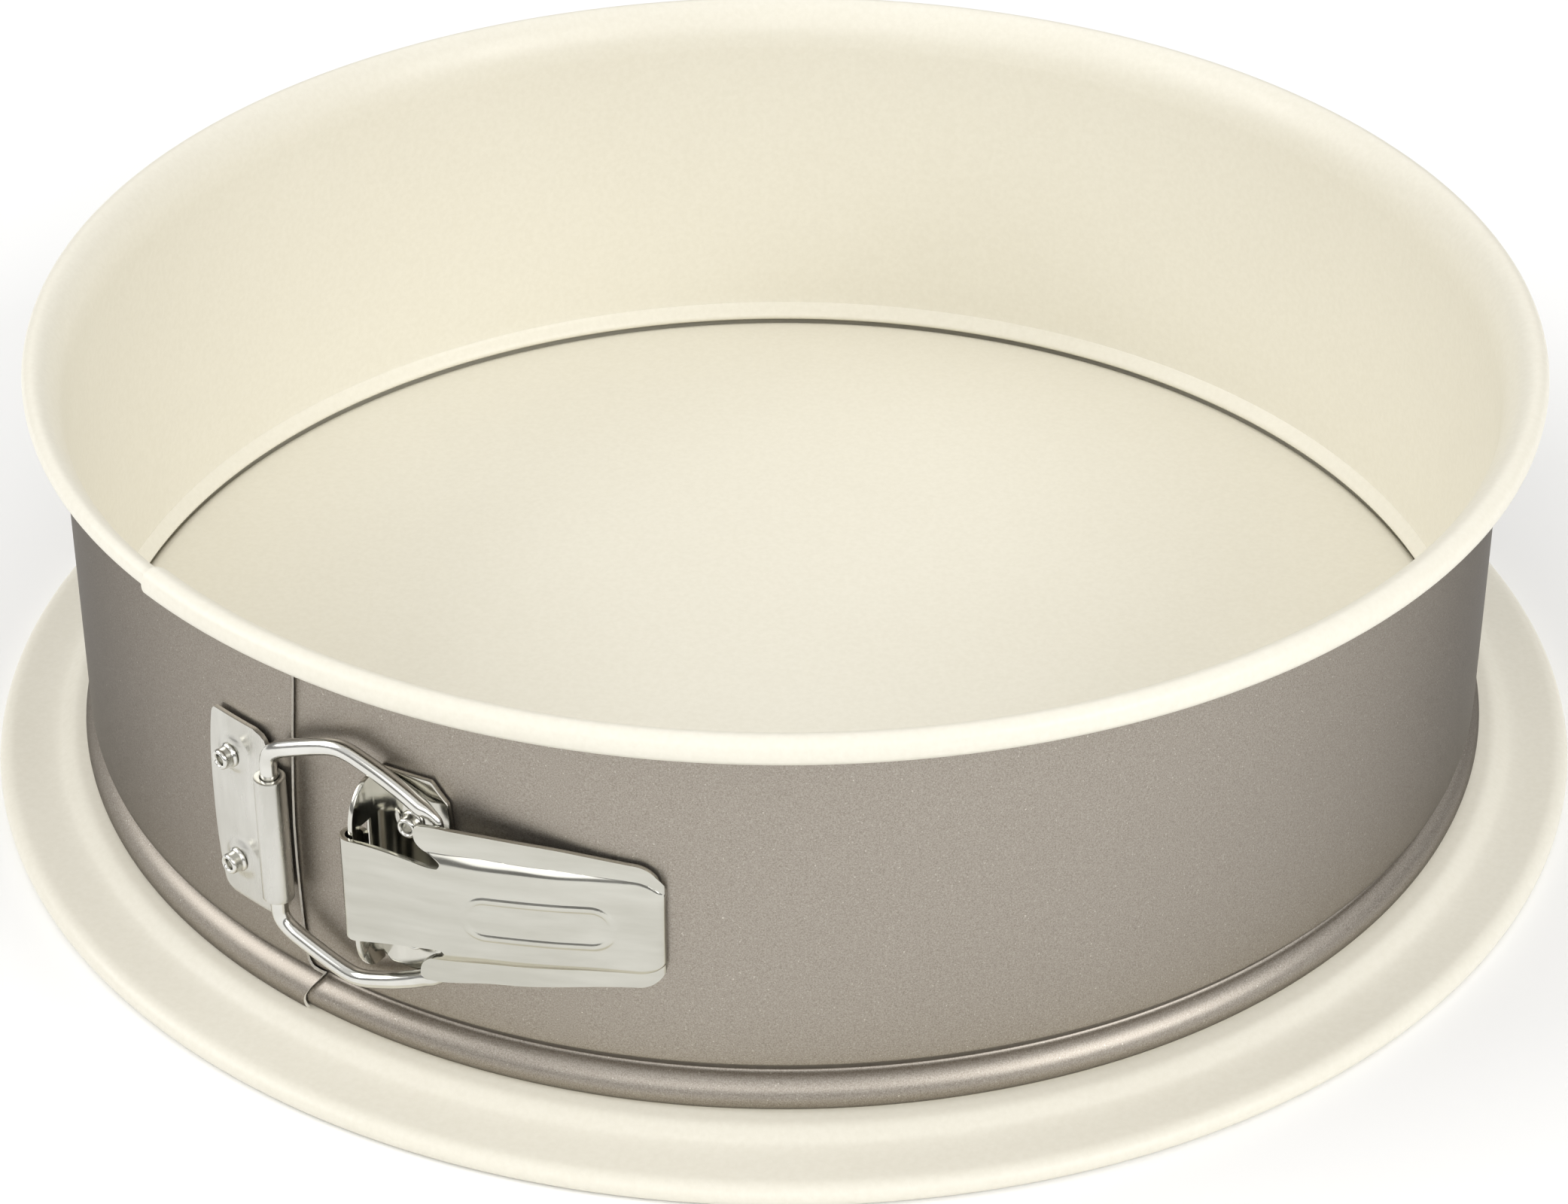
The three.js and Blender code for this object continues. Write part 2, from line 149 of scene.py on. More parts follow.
def looked_up(table, x, column=1):
    """A smooth value between the rows of a table whose first column rises."""
    if x <= table[0][0]:
        return table[0][column]
    if x >= table[-1][0]:
        return table[-1][column]
    i = next(k for k in range(1, len(table)) if table[k][0] >= x)
    x0, x1 = table[i - 1][0], table[i][0]
    y0, y1 = table[i - 1][column], table[i][column]
    before, after = table[max(i - 2, 0)], table[min(i + 1, len(table) - 1)]
    slope0 = (y1 - before[column]) / (x1 - before[0])
    slope1 = (after[column] - y0) / (after[0] - x0)
    t, span = (x - x0) / (x1 - x0), x1 - x0
    return (
        y0 * (1 + 2 * t) * (1 - t) ** 2 + slope0 * span * t * (1 - t) ** 2
        + y1 * t * t * (3 - 2 * t) + slope1 * span * t * t * (t - 1)
    )


def normals_of(line):
    """Unit normals on the left of each point of a 2-D line."""
    out = []
    for i, p in enumerate(line):
        d = line[min(i + 1, len(line) - 1)] - line[max(i - 1, 0)]
        out.append(Vector((-d.y, d.x)).normalized())
    return out


def offset(line, distance):
    return [p + n * distance for p, n in zip(line, normals_of(line))]


def strip(line, thickness):
    """Closed outline round a 2-D line, and the side of each edge: 0 left, 1 right, 2 end."""
    half = thickness / 2
    left, right = offset(line, half), offset(line, -half)
    start = (line[0] - line[1]).normalized() * half * 0.8
    finish = (line[-1] - line[-2]).normalized() * half * 0.8
    outline = [*left, line[-1] + finish, *reversed(right), line[0] + start]
    n = len(line)
    sides = [0] * (n - 1) + [2, 2] + [1] * (n - 1) + [2, 2]
    return outline, sides


def new_object(name, mesh):
    piece = bpy.data.objects.new(name, mesh)
    bpy.context.scene.collection.objects.link(piece)
    return piece


def finish_mesh(name, bm, sharp_angle=35.0):
    bmesh.ops.recalc_face_normals(bm, faces=bm.faces)
    for face in bm.faces:
        face.smooth = True
    mesh = bpy.data.meshes.new(name)
    bm.to_mesh(mesh)
    bm.free()
    mesh.set_sharp_from_angle(angle=math.radians(sharp_angle))
    return new_object(name, mesh)


def add_modifiers(piece, *settings):
    for kind, values in settings:
        modifier = piece.modifiers.new(kind.title(), kind)
        for key, value in values.items():
            setattr(modifier, key, value)


def apply_modifiers(piece, sharp_angle=35.0):
    """Bakes a piece's modifiers into its mesh."""
    graph = bpy.context.evaluated_depsgraph_get()
    mesh = bpy.data.meshes.new_from_object(piece.evaluated_get(graph))
    piece.modifiers.clear()
    piece.data = mesh
    for face in mesh.polygons:
        face.use_smooth = True
    mesh.set_sharp_from_angle(angle=math.radians(sharp_angle))
    return piece


def grid_surface(bm, rows, closed=False):
    """Quads over rows of points; None leaves a hole. Returns the rows of vertices."""
    made = [[None if p is None else bm.verts.new(p) for p in row] for row in rows]
    for a, b in zip(made, made[1:]):
        count = len(a) if closed else len(a) - 1
        for i in range(count):
            j = (i + 1) % len(a)
            corners = [a[i], a[j], b[j], b[i]]
            if all(v is not None for v in corners):
                bm.faces.new(corners)
    return made


def mark_used(piece, body, slot_name, *nodes):
    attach(piece, body)
    if nodes:
        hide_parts(*nodes)
    return piece


# ---- materials -------------------------------------------------------------


class Nodes:
    """A short way to build a shader tree."""

    def __init__(self, name):
        self.material = bpy.data.materials.new(name)
        self.material.use_nodes = True
        self.tree = self.material.node_tree
        self.tree.nodes.clear()
        self.shader = self.add("ShaderNodeBsdfPrincipled")
        output = self.add("ShaderNodeOutputMaterial")
        self.link(self.shader.outputs[0], output.inputs["Surface"])
        self.place = self.add("ShaderNodeTexCoord").outputs["Object"]

    def add(self, kind, **settings):
        node = self.tree.nodes.new(kind)
        for key, value in settings.items():
            setattr(node, key, value)
        return node

    def link(self, output, socket):
        self.tree.links.new(output, socket)

    def value(self, socket, value):
        self.shader.inputs[socket].default_value = value

    def stretched(self, scale):
        mapping = self.add("ShaderNodeMapping")
        mapping.inputs["Scale"].default_value = scale
        self.link(self.place, mapping.inputs["Vector"])
        return mapping.outputs["Vector"]

    def noise(self, scale, detail=2.0, roughness=0.5, place=None):
        node = self.add("ShaderNodeTexNoise")
        node.inputs["Scale"].default_value = scale
        node.inputs["Detail"].default_value = detail
        node.inputs["Roughness"].default_value = roughness
        self.link(place or self.place, node.inputs["Vector"])
        return node.outputs["Fac"]

    def cells(self, scale, output="Distance"):
        node = self.add("ShaderNodeTexVoronoi")
        node.inputs["Scale"].default_value = scale
        self.link(self.place, node.inputs["Vector"])
        return node.outputs[output]

    def ramp(self, source, *stops):
        node = self.add("ShaderNodeValToRGB")
        ramp = node.color_ramp
        while len(ramp.elements) < len(stops):
            ramp.elements.new(0.5)
        for element, (at, color) in zip(ramp.elements, stops):
            element.position = at
            element.color = (*color, 1.0)
        self.link(source, node.inputs["Fac"])
        return node.outputs["Color"]

    def map(self, source, low, high, to_low, to_high):
        node = self.add("ShaderNodeMapRange")
        limits = {"From Min": low, "From Max": high, "To Min": to_low, "To Max": to_high}
        for key, value in limits.items():
            node.inputs[key].default_value = value
        self.link(source, node.inputs["Value"])
        return node.outputs["Result"]

    def mix(self, factor, a, b, blend="MIX"):
        node = self.add("ShaderNodeMix", data_type="RGBA", blend_type=blend)
        color_a = next(s for s in node.inputs if s.identifier == "A_Color")
        color_b = next(s for s in node.inputs if s.identifier == "B_Color")
        fac = next(s for s in node.inputs if s.identifier == "Factor_Float")
        for socket, value in ((fac, factor), (color_a, a), (color_b, b)):
            if isinstance(value, bpy.types.NodeSocket):
                self.link(value, socket)
            elif socket is fac:
                socket.default_value = value
            else:
                socket.default_value = (*value, 1.0)
        return next(s for s in node.outputs if s.identifier == "Result_Color")

    def math(self, operation, a, b=0.0):
        node = self.add("ShaderNodeMath", operation=operation)
        for socket, value in zip(node.inputs, (a, b)):
            if isinstance(value, bpy.types.NodeSocket):
                self.link(value, socket)
            else:
                socket.default_value = value
        return node.outputs[0]

    def bump(self, height, strength, distance, below=None):
        node = self.add("ShaderNodeBump")
        node.inputs["Strength"].default_value = strength
        node.inputs["Distance"].default_value = distance
        self.link(height, node.inputs["Height"])
        if below is not None:
            self.link(below, node.inputs["Normal"])
        self.link(node.outputs["Normal"], self.shader.inputs["Normal"])
        return node.outputs["Normal"]


def cream_coating():
    """Ceramic non-stick coat: a warm cream with faint clouds, fine orange peel and a few pinholes."""
    n = Nodes("cream_ceramic")
    clouds = n.noise(9.0, 3.0)
    fine = n.noise(900.0, 3.0, 0.6)
    color = n.ramp(clouds, (0.3, (0.77, 0.735, 0.63)), (0.7, (0.80, 0.77, 0.67)))
    color = n.mix(0.07, color, n.ramp(fine, (0.35, (0.62, 0.58, 0.47)), (0.65, (1.0, 0.98, 0.9))))
    pinholes = n.map(n.cells(150.0), 0.02, 0.05, 1.0, 0.0)
    sparse = n.math("GREATER_THAN", n.cells(150.0, output="Color"), 0.93)
    color = n.mix(n.math("MULTIPLY", pinholes, sparse), color, (0.42, 0.36, 0.26))
    n.link(color, n.shader.inputs["Base Color"])
    n.link(n.map(n.noise(60.0, 4.0), 0.3, 0.7, 0.34, 0.46), n.shader.inputs["Roughness"])
    n.value("Coat Weight", 0.08)
    n.value("Coat Roughness", 0.22)
    n.value("Specular IOR Level", 0.35)
    peel = n.bump(n.noise(420.0, 2.0), 0.25, 0.00006)
    n.bump(fine, 0.2, 0.00003, peel)
    return n.material


def taupe_coating():
    """Metallic taupe coat: aluminium flake in a brown-grey binder, with fine grain and a painted sparkle of
    bright flake specks in the base colour.
    """
    n = Nodes("taupe_metallic")
    clouds = n.noise(7.0, 2.0)
    grain = n.noise(4200.0, 2.0, 0.7)
    flake_and_glint_cells = n.cells(5200.0, output="Color")
    color = n.ramp(clouds, (0.3, (0.315, 0.276, 0.229)), (0.7, (0.36, 0.323, 0.277)))
    color = n.mix(0.4, color, n.ramp(grain, (0.3, (0.16, 0.135, 0.11)), (0.7, (0.66, 0.62, 0.56))))
    # Painted glints: sparse specks mixed towards a pale colour, partly the brighter aluminium flake and
    # partly painted sparkle.
    flake_and_painted_glint = n.map(flake_and_glint_cells, 0.91, 1.0, 0.0, 0.7)
    color = n.mix(flake_and_painted_glint, color, (0.86, 0.82, 0.74))
    n.link(color, n.shader.inputs["Base Color"])
    n.value("Metallic", 0.95)
    n.value("Specular Tint", (0.16, 0.18, 0.21, 1.0))
    n.link(n.map(grain, 0.25, 0.75, 0.34, 0.52), n.shader.inputs["Roughness"])
    n.value("Coat Weight", 0.03)
    n.value("Coat Roughness", 0.3)
    body = n.bump(n.noise(380.0, 2.0), 0.2, 0.00005)
    n.bump(grain, 0.35, 0.00003, body)
    return n.material


def bare_edge_with_painted_highlight():
    """The cut edge of the sheet, where the coat stops, in a near-white that also paints a highlight along the
    edge.
    """
    n = Nodes("cut_edge_painted_highlight")
    # Painted highlight: the bare edge is near-white and barely metallic so that it always reads as a bright
    # line.
    edge_tone_and_highlight = n.ramp(n.noise(700.0, 3.0), (0.3, (0.84, 0.80, 0.70)), (0.7, (0.97, 0.95, 0.88)))
    n.link(edge_tone_and_highlight, n.shader.inputs["Base Color"])
    n.value("Metallic", 0.1)
    n.link(n.map(n.noise(500.0), 0.3, 0.7, 0.25, 0.4), n.shader.inputs["Roughness"])
    return n.material


def nickel(name, dark, light, rough, stretch, scratch=0.18):
    """Nickel plate over stamped steel: warm grey, faint clouds and fine drawn lines along the piece."""
    n = Nodes(name)
    clouds = n.noise(70.0, 3.0)
    lines = n.noise(260.0, 4.0, 0.6, n.stretched(stretch))
    color = n.ramp(clouds, (0.3, dark), (0.7, light))
    color = n.mix(0.12, color, n.ramp(lines, (0.35, (0.30, 0.28, 0.24)), (0.65, (0.95, 0.94, 0.9))))
    n.link(color, n.shader.inputs["Base Color"])
    n.value("Metallic", 1.0)
    n.link(n.map(lines, 0.3, 0.7, rough * 0.75, rough * 1.35), n.shader.inputs["Roughness"])
    waves = n.bump(n.noise(110.0, 1.0), 0.3, 0.00012)
    n.bump(lines, scratch, 0.00003, waves)
    return n.material


CREAM = cream_coating()
TAUPE = taupe_coating()
EDGE_WITH_HIGHLIGHT = bare_edge_with_painted_highlight()
PLATE_NICKEL = nickel(
    "nickel_plate", (0.54, 0.53, 0.485), (0.63, 0.622, 0.58), 0.27, (1.0, 1.0, 0.15),
)
BRACKET_NICKEL = nickel(
    "nickel_bracket", (0.56, 0.545, 0.49), (0.68, 0.67, 0.61), 0.14, (1.0, 1.0, 0.12), 0.08,
)
LEVER_NICKEL = nickel(
    "nickel_lever", (0.525, 0.517, 0.46), (0.57, 0.562, 0.505), 0.16, (0.12, 1.0, 1.0), 0.04,
)
WIRE_NICKEL = nickel(
    "nickel_wire", (0.64, 0.63, 0.58), (0.76, 0.755, 0.72), 0.16, (0.3, 0.3, 1.0), 0.1,
)
RIVET_NICKEL = nickel(
    "nickel_rivet", (0.62, 0.61, 0.56), (0.74, 0.735, 0.70), 0.19, (1.0, 1.0, 1.0),
)


def give(piece, *materials):
    for material in materials:
        piece.data.materials.append(material)
    return piece


# ---- ring ------------------------------------------------------------------

WALL_MID = WALL_R - SHEET / 2

# Middle of the sheet in section, from the bottom edge to the end of the rolled rim.
RING_SECTION = [
    (WALL_MID + 0.75, RING_BOTTOM), (WALL_MID + 1.2, 7.0), (WALL_MID + 1.45, 8.0), (WALL_MID + 1.3, 9.0),
    (WALL_MID + 0.8, 10.0), (WALL_MID - 0.05, 10.9), (WALL_MID - 0.95, 11.45), (WALL_MID - 1.65, 11.75),
    (WALL_MID - 2.05, 12.25), (WALL_MID - 1.8, 12.85), (WALL_MID - 1.05, 13.7), (WALL_MID - 0.3, 14.6),
    (WALL_MID, 15.8), (WALL_MID, 24.0), (WALL_MID, 50.0), (WALL_MID, 72.0),
    (WALL_MID + 0.1, 76.0), (WALL_MID + 0.7, 78.9), (WALL_MID + 2.1, 81.6), (WALL_MID + 3.6, 83.1),
    (WALL_MID + 5.2, RIM_TOP - 0.3), (WALL_MID + 6.6, 83.1), (WALL_MID + 7.2, 81.7), (WALL_MID + 7.0, 80.2),
    (WALL_MID + 5.9, 79.2), (WALL_MID + 4.4, 79.1), (WALL_MID + 3.4, 79.9),
]


def ring_line(share):
    """The section's middle line: share 1 on most of the ring, 0 on the outer tail, outside the inner one."""
    line = curve_through(RING_SECTION, 4)
    if share >= 1:
        return line
    nested = offset(line, -(SHEET + TAIL_GAP))
    return [mix(inner, outer, share) for inner, outer in zip(nested, line)]


def tail_share(angle):
    return smooth(angle, *TAIL_BLEND)


# How far the cut end of the outer tail wanders from a straight line: height, degrees.
TAIL_EDGE = [
    (5.0, 0.05), (8.5, 0.05), (10.2, -0.25), (12.2, -0.75), (14.0, -0.6), (15.6, -0.1),
    (17.7, 0.05), (27.0, 0.3), (43.0, 0.4), (58.0, 0.0), (76.0, -0.7), (84.0, -0.8),
]


def tail_edge(height):
    return looked_up(TAIL_EDGE, height)


def straight_edge(height):
    return 0.0


def ring_piece(name, start, finish, share_at, edge_at_start=straight_edge):
    steps = round((finish - start) / RING_STEP)
    bm = bmesh.new()
    rows = []
    for step in range(steps + 1):
        angle = mix(start, finish, step / steps)
        outline, sides = strip(ring_line(share_at(angle)), SHEET)
        ease = math.exp(-(angle - start) / EDGE_FADE)
        rows.append([around(p.x, angle + ease * edge_at_start(p.y), p.y) * MM for p in outline])
    made = grid_surface(bm, rows, closed=True)
    count = len(made[0])
    for number, face in enumerate(bm.faces):
        face.material_index = sides[number % count]
    n = (count - 2) // 2
    for row in (made[0], made[-1]):
        for i in range(n - 1):
            left, right = row[i : i + 2], (row[2 * n - i], row[2 * n - i - 1])
            bm.faces.new([left[0], left[1], right[1], right[0]]).material_index = 2
        bm.faces.new([row[n - 1], row[n], row[n + 1]]).material_index = 2
        bm.faces.new([row[2 * n], row[2 * n + 1], row[0]]).material_index = 2
    return give(finish_mesh(name, bm, 50.0), CREAM, TAUPE, EDGE_WITH_HIGHLIGHT)


def make_ring():
    back = SEAM_ANGLE + 180.0
    front = ring_piece("ring_strip_right", back - 360.0, TAIL_END_ANGLE, lambda angle: 1.0)
    tail = ring_piece("ring_strip_left", SEAM_ANGLE, back, tail_share, tail_edge)
    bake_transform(front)
    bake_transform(tail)
    for piece, nodes in ((front, ("ring_right", "ring_rear")), (tail, ("ring_left",))):
        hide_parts(*nodes)


# ---- base plate ------------------------------------------------------------

# Middle of the sheet from the axis out to the curled edge.
PLATE_SECTION = [
    (118.0, PLATE_FLOOR_Z), (125.4, PLATE_FLOOR_Z), (127.2, 10.3), (128.1, 9.9), (128.55, 9.1),
    (128.65, 8.0), (128.7, 6.6), (129.2, 5.65), (130.4, 5.45), (132.4, 5.45), (134.2, 5.35),
    (135.8, 4.6), (137.4, 3.75), (139.4, 3.35), (142.0, 3.2), (144.4, 3.2), (146.2, 3.15),
    (147.4, 2.6), (148.0, 1.6), (147.75, 0.75), (147.0, 0.46), (146.2, 0.75), (145.9, 1.5), (146.4, 2.1),
]
FLOOR_RINGS = (100.0, 80.0, 60.0, 40.0, 20.0)


def make_base_plate():
    line = curve_through(PLATE_SECTION, 5)
    outline, sides = strip(line, PLATE_SHEET)
    bm = bmesh.new()
    turns = [i * 360 / PLATE_SEGMENTS for i in range(PLATE_SEGMENTS)]
    made = grid_surface(bm, [[around(p.x, turn, p.y) * MM for p in outline[:-1]] for turn in turns])
    for i in range(len(made[0]) - 1):
        bm.faces.new([made[-1][i], made[-1][i + 1], made[0][i + 1], made[0][i]])
    per_row = len(made[0]) - 1
    for number, face in enumerate(bm.faces):
        face.material_index = sides[number % per_row]
    for top in (True, False):
        height = (PLATE_FLOOR_Z + (PLATE_SHEET / 2 if top else -PLATE_SHEET / 2)) * MM
        coat = 0 if top else 1
        outer = [row[0] if top else row[-1] for row in made]
        for radius in FLOOR_RINGS:
            inner = [bm.verts.new((*(around(radius, turn) * MM).xy, height)) for turn in turns]
            for i in range(PLATE_SEGMENTS):
                j = (i + 1) % PLATE_SEGMENTS
                bm.faces.new([outer[i], outer[j], inner[j], inner[i]]).material_index = coat
            outer = inner
        centre = bm.verts.new((0, 0, height))
        for i in range(PLATE_SEGMENTS):
            bm.faces.new([outer[i], outer[(i + 1) % PLATE_SEGMENTS], centre]).material_index = coat
    plate = give(finish_mesh("base_plate_sheet", bm, 50.0), CREAM, TAUPE, EDGE_WITH_HIGHLIGHT)
    mark_used(plate, "base", "cream_coating", "base_plate")


# ---- clasp -----------------------------------------------------------------


def ridge(distance, radius):
    return smooth(radius - distance, 0.0, radius * 0.55)


def boss_height(angle, height, radius, rivets, size, tall):
    """How far a pressed boss round each rivet lifts a plate."""
    along = math.radians(angle - rivets["angle"]) * radius
    places = (rivets["upper"], rivets["lower"])
    return sum(tall * ridge(math.hypot(along, height - place), size) for place in places)


def solid_sheet(piece, thickness, bevel=0.18):
    """Gives a surface its thickness, half to each side, and softens its edges."""
    corner = math.radians(50)
    add_modifiers(
        piece,
        ("SOLIDIFY", {"thickness": thickness * MM, "offset": 0.0, "use_even_offset": True}),
        ("BEVEL", {"width": bevel * MM, "segments": 2, "limit_method": "ANGLE", "angle_limit": corner}),
    )
    return apply_modifiers(piece)


def rounded_end(distance, radius):
    """How far a round corner pulls an edge back at a point this far past the corner's start."""
    past = min(max(distance / radius, 0.0), 1.0)
    return radius * (1 - math.sqrt(1 - past * past))


def make_hinge_plate():
    """A leaf on the wall, with bosses under its rivets and its right edge curled round the bail."""
    leaf_right = KNUCKLE_ANGLE + 0.9
    middle = HINGE_PLATE_R + CLASP_SHEET / 2
    curl_r = (KNUCKLE_BORE_R + KNUCKLE_OUTER_R) / 2
    to_degrees = math.degrees(1 / middle)
    bm = bmesh.new()
    rows = []
    for i in range(41):
        share = i / 40
        row = []
        for k in range(61):
            h = mix(HINGE_BOTTOM, HINGE_TOP, k / 60)
            bow = HINGE_BOW * abs(h / HINGE_BOW_HALF) ** HINGE_BOW_POWER
            round_off = rounded_end(abs(h) - HINGE_LEFT_CORNER_Z, HINGE_LEFT_CORNER)
            left_end = HINGE_LEFT_ANGLE - (bow + round_off) * to_degrees
            if h > 0:
                corner = rounded_end(h - HINGE_TOP + HINGE_TOP_CORNER, HINGE_TOP_CORNER)
            else:
                corner = rounded_end(HINGE_BOTTOM + HINGE_BOTTOM_CORNER - h, HINGE_BOTTOM_CORNER)
            place = mix(left_end, leaf_right + corner * to_degrees, share)
            lift = boss_height(place, CLASP_Z + h, middle, HINGE_RIVETS, BOSS_R, HINGE_BOSS)
            row.append(around(middle + lift, place, CLASP_Z + h) * MM)
        rows.append(row)
    grid_surface(bm, rows)
    leaf = solid_sheet(finish_mesh("hinge_leaf", bm), CLASP_SHEET)
    axis = around(KNUCKLE_R, KNUCKLE_ANGLE)
    bm = bmesh.new()
    start = around(middle, KNUCKLE_ANGLE + 1.6)
    turns = [math.radians(90 - KNUCKLE_ANGLE - 338 * i / 44) for i in range(45)]
    path = [start] + [axis + Vector((math.cos(a), math.sin(a), 0)) * curl_r for a in turns]
    rows = []
    for i in range(27):
        h = KNUCKLE_HALF * (i / 13 - 1)
        rows.append([(p + Vector((0, 0, CLASP_Z + h))) * MM for p in path])
    grid_surface(bm, rows)
    knuckle = solid_sheet(finish_mesh("hinge_knuckle", bm), KNUCKLE_OUTER_R - KNUCKLE_BORE_R)
    plate = join("hinge_plate_sheet", leaf, knuckle)
    mark_used(give(plate, PLATE_NICKEL), "ring_tail", "nickel_plate", "hinge_plate")


def join(name, *pieces):
    """Several meshes as one piece."""
    bm = bmesh.new()
    for piece in pieces:
        bm.from_mesh(piece.data)
    mesh = bpy.data.meshes.new(name)
    bm.to_mesh(mesh)
    bm.free()
    for piece in pieces:
        bpy.data.objects.remove(piece)
    return new_object(name, mesh)


# Half of the bail's line: distance from the knuckle towards the ears, height above its middle.
BAIL_HALF = [
    (0.0, 8.0), (0.0, 13.8), (0.1, 15.6), (0.75, 17.1), (2.3, 18.4), (4.4, 19.45), (8.5, 21.2),
    (11.4, 22.3), (13.2, 22.85), (15.0, 23.1), (16.8, 22.9), (18.9, 22.3), (23.0, 20.8), (27.2, 18.9),
    (30.0, 17.4), (31.4, 16.9), (32.8, 16.3), (33.6, 15.5), (33.9, 14.2), (33.93, 12.4), (33.93, 10.6),
]


def bail_path():
    """The wire's line: straight in the knuckle, spread in the middle, its ends behind the lever's ears."""
    start, end = around(KNUCKLE_R, KNUCKLE_ANGLE), around(EAR_R, EAR_ANGLE)
    along = (end - start).normalized()
    points = [start + along * u + Vector((0, 0, CLASP_Z + h)) for u, h in BAIL_HALF]
    lower = [Vector((p.x, p.y, 2 * CLASP_Z - p.z)) for p in points]
    return [*reversed(points), *lower]


def make_bail():
    points = curve_through(bail_path(), 6)
    bm = bmesh.new()
    sides = 24
    rows = []
    ear = around(EAR_R, EAR_ANGLE)
    across = Vector((0, 0, 1)).cross(ear - around(KNUCKLE_R, KNUCKLE_ANGLE)).normalized()
    for i, p in enumerate(points):
        radius = mix(PIN_R, WIRE_R, smooth((p - ear).xy.length, *PIN_TAPER))
        tangent = (points[min(i + 1, len(points) - 1)] - points[max(i - 1, 0)]).normalized()
        other = tangent.cross(across).normalized()
        ring = [2 * math.pi * k / sides for k in range(sides)]
        rows.append([(p + (across * math.cos(a) + other * math.sin(a)) * radius) * MM for a in ring])
    made = grid_surface(bm, rows, closed=True)
    bm.faces.new(made[0])
    bm.faces.new(made[-1])
    wire = give(finish_mesh("bail_wire", bm, 50.0), WIRE_NICKEL)
    mark_used(wire, "bail", "nickel_wire", "wire_bail")


def make_bracket():
    """A plate with cut corners on the wall and a slotted flange that stands out from its left edge."""
    left = PIVOT_ANGLE - 0.1
    middle, height = BRACKET_R + CLASP_SHEET / 2, CLASP_Z + BRACKET_RAISE
    bm = bmesh.new()
    rows = []
    for i in range(41):
        share = i / 40
        angle = mix(left, BRACKET_RIGHT_ANGLE, share)
        cut_left = max(BRACKET_CUT_LEFT - share * BRACKET_WIDTH, 0.0)
        cut_right = max(BRACKET_CUT_RIGHT - (1 - share) * BRACKET_WIDTH * BRACKET_CUT_SLOPE, 0.0)
        row = []
        for k in range(61):
            h = (k / 30 - 1) * (BRACKET_HALF - cut_left - cut_right)
            slant = BRACKET_SLANT * smooth(abs(h), *BRACKET_SLANT_Z) * share
            place = angle + math.degrees(slant / middle)
            lift = boss_height(place, height + h, middle, BRACKET_RIVETS, BOSS_R, BRACKET_BOSS)
            row.append(around(middle + lift, place, height + h) * MM)
        rows.append(row)
    grid_surface(bm, rows)
    leaf = solid_sheet(finish_mesh("bracket_leaf", bm), CLASP_SHEET)
    out = around(1.0, PIVOT_ANGLE)
    base = around(BRACKET_R, PIVOT_ANGLE, CLASP_Z)
    bm = bmesh.new()
    outline = [FLANGE_FOOT]
    for i in range(25):
        turn = math.radians(90 - 90 * i / 24)
        x = FLANGE_CORNER_X + (FLANGE_REACH - FLANGE_CORNER_X) * math.cos(turn)
        outline.append((x, FLANGE_HALF + FLANGE_CORNER_Z * math.sin(turn)))
    outline += [(x, -h) for x, h in reversed(outline)]
    slot_end = FLANGE_REACH - SLOT_OUTER
    slot = [(SLOT_INNER, SLOT_HALF), (slot_end, SLOT_HALF), (slot_end, -SLOT_HALF), (SLOT_INNER, -SLOT_HALF)]
    loops = []
    for points in (outline, slot):
        verts = [bm.verts.new((base + out * x + Vector((0, 0, h))) * MM) for x, h in points]
        loops.append([bm.edges.new((verts[i], verts[(i + 1) % len(verts)])) for i in range(len(verts))])
    bmesh.ops.triangle_fill(bm, edges=[e for loop in loops for e in loop], use_beauty=True)
    flange = solid_sheet(finish_mesh("bracket_flange", bm), CLASP_SHEET, 0.2)
    plate = join("lever_bracket_sheet", leaf, flange)
    mark_used(give(plate, BRACKET_NICKEL), "ring_front", "nickel_plate", "lever_bracket")


# The lever is drawn from its pivot: x along it, y towards the wall, z up.
# Its middle line after the curl: x, y, half height.
TONGUE = [
    (0.0, -1.95, 10.0), (2.4, -1.9, 9.75), (6.4, -2.1, 9.25), (10.4, -2.5, 8.7), (13.4, -2.8, 8.25),
    (NOTCH_X, -2.88, FACE_HALF),
]
# Its front: x, y of the raised face, height of the shoulder's foot, y of the flange, half height of the edge.
FRONT = [
    (11.1, -3.0, 10.7, -1.85, 15.3), (14.4, -2.88, 10.7, -1.78, 15.5), (17.4, -2.7, 10.6, -1.6, 15.2),
    (22.4, -2.3, 10.4, -1.05, 14.7), (28.4, -1.7, 10.1, -0.65, 14.3), (34.4, -0.9, 9.8, 0.1, 13.7),
    (40.4, 0.2, 9.4, 0.85, 12.9), (46.4, 1.05, 9.15, 1.5, 12.2), (49.5, 1.35, 9.0, 1.75, 12.0),
    (52.0, 1.6, 8.8, 1.95, 11.8),
]
# The ears' left edge, down to the end of the notch: height, x.
EAR_EDGE = [
    (FACE_HALF, NOTCH_X), (8.9, 15.65), (9.5, 15.1), (10.4, 13.6), (11.3, 12.3), (12.3, 11.5),
    (13.5, 11.15), (14.8, 11.15), (EAR_HALF, 11.7),
]
EMBOSS = {"x": 31.5, "z": -0.6, "half": 8.5, "radius": 3.7, "width": 0.48, "tall": 0.3}


def corner_cut(x):
    """How much the rounded corners at the lever's end take off its half height."""
    past = min(max((x - LEVER_END + CORNER_X) / CORNER_X, 0.0), 1.0)
    return CORNER_Z * (1 - math.sqrt(1 - past * past))


def end_bend(x):
    """The last of the lever turns back towards the wall."""
    past = max(x - LEVER_END + END_BEND_LENGTH, 0.0) / END_BEND_LENGTH
    return END_BEND_DEPTH * (1 - math.sqrt(max(1 - past * past, 0.0)))


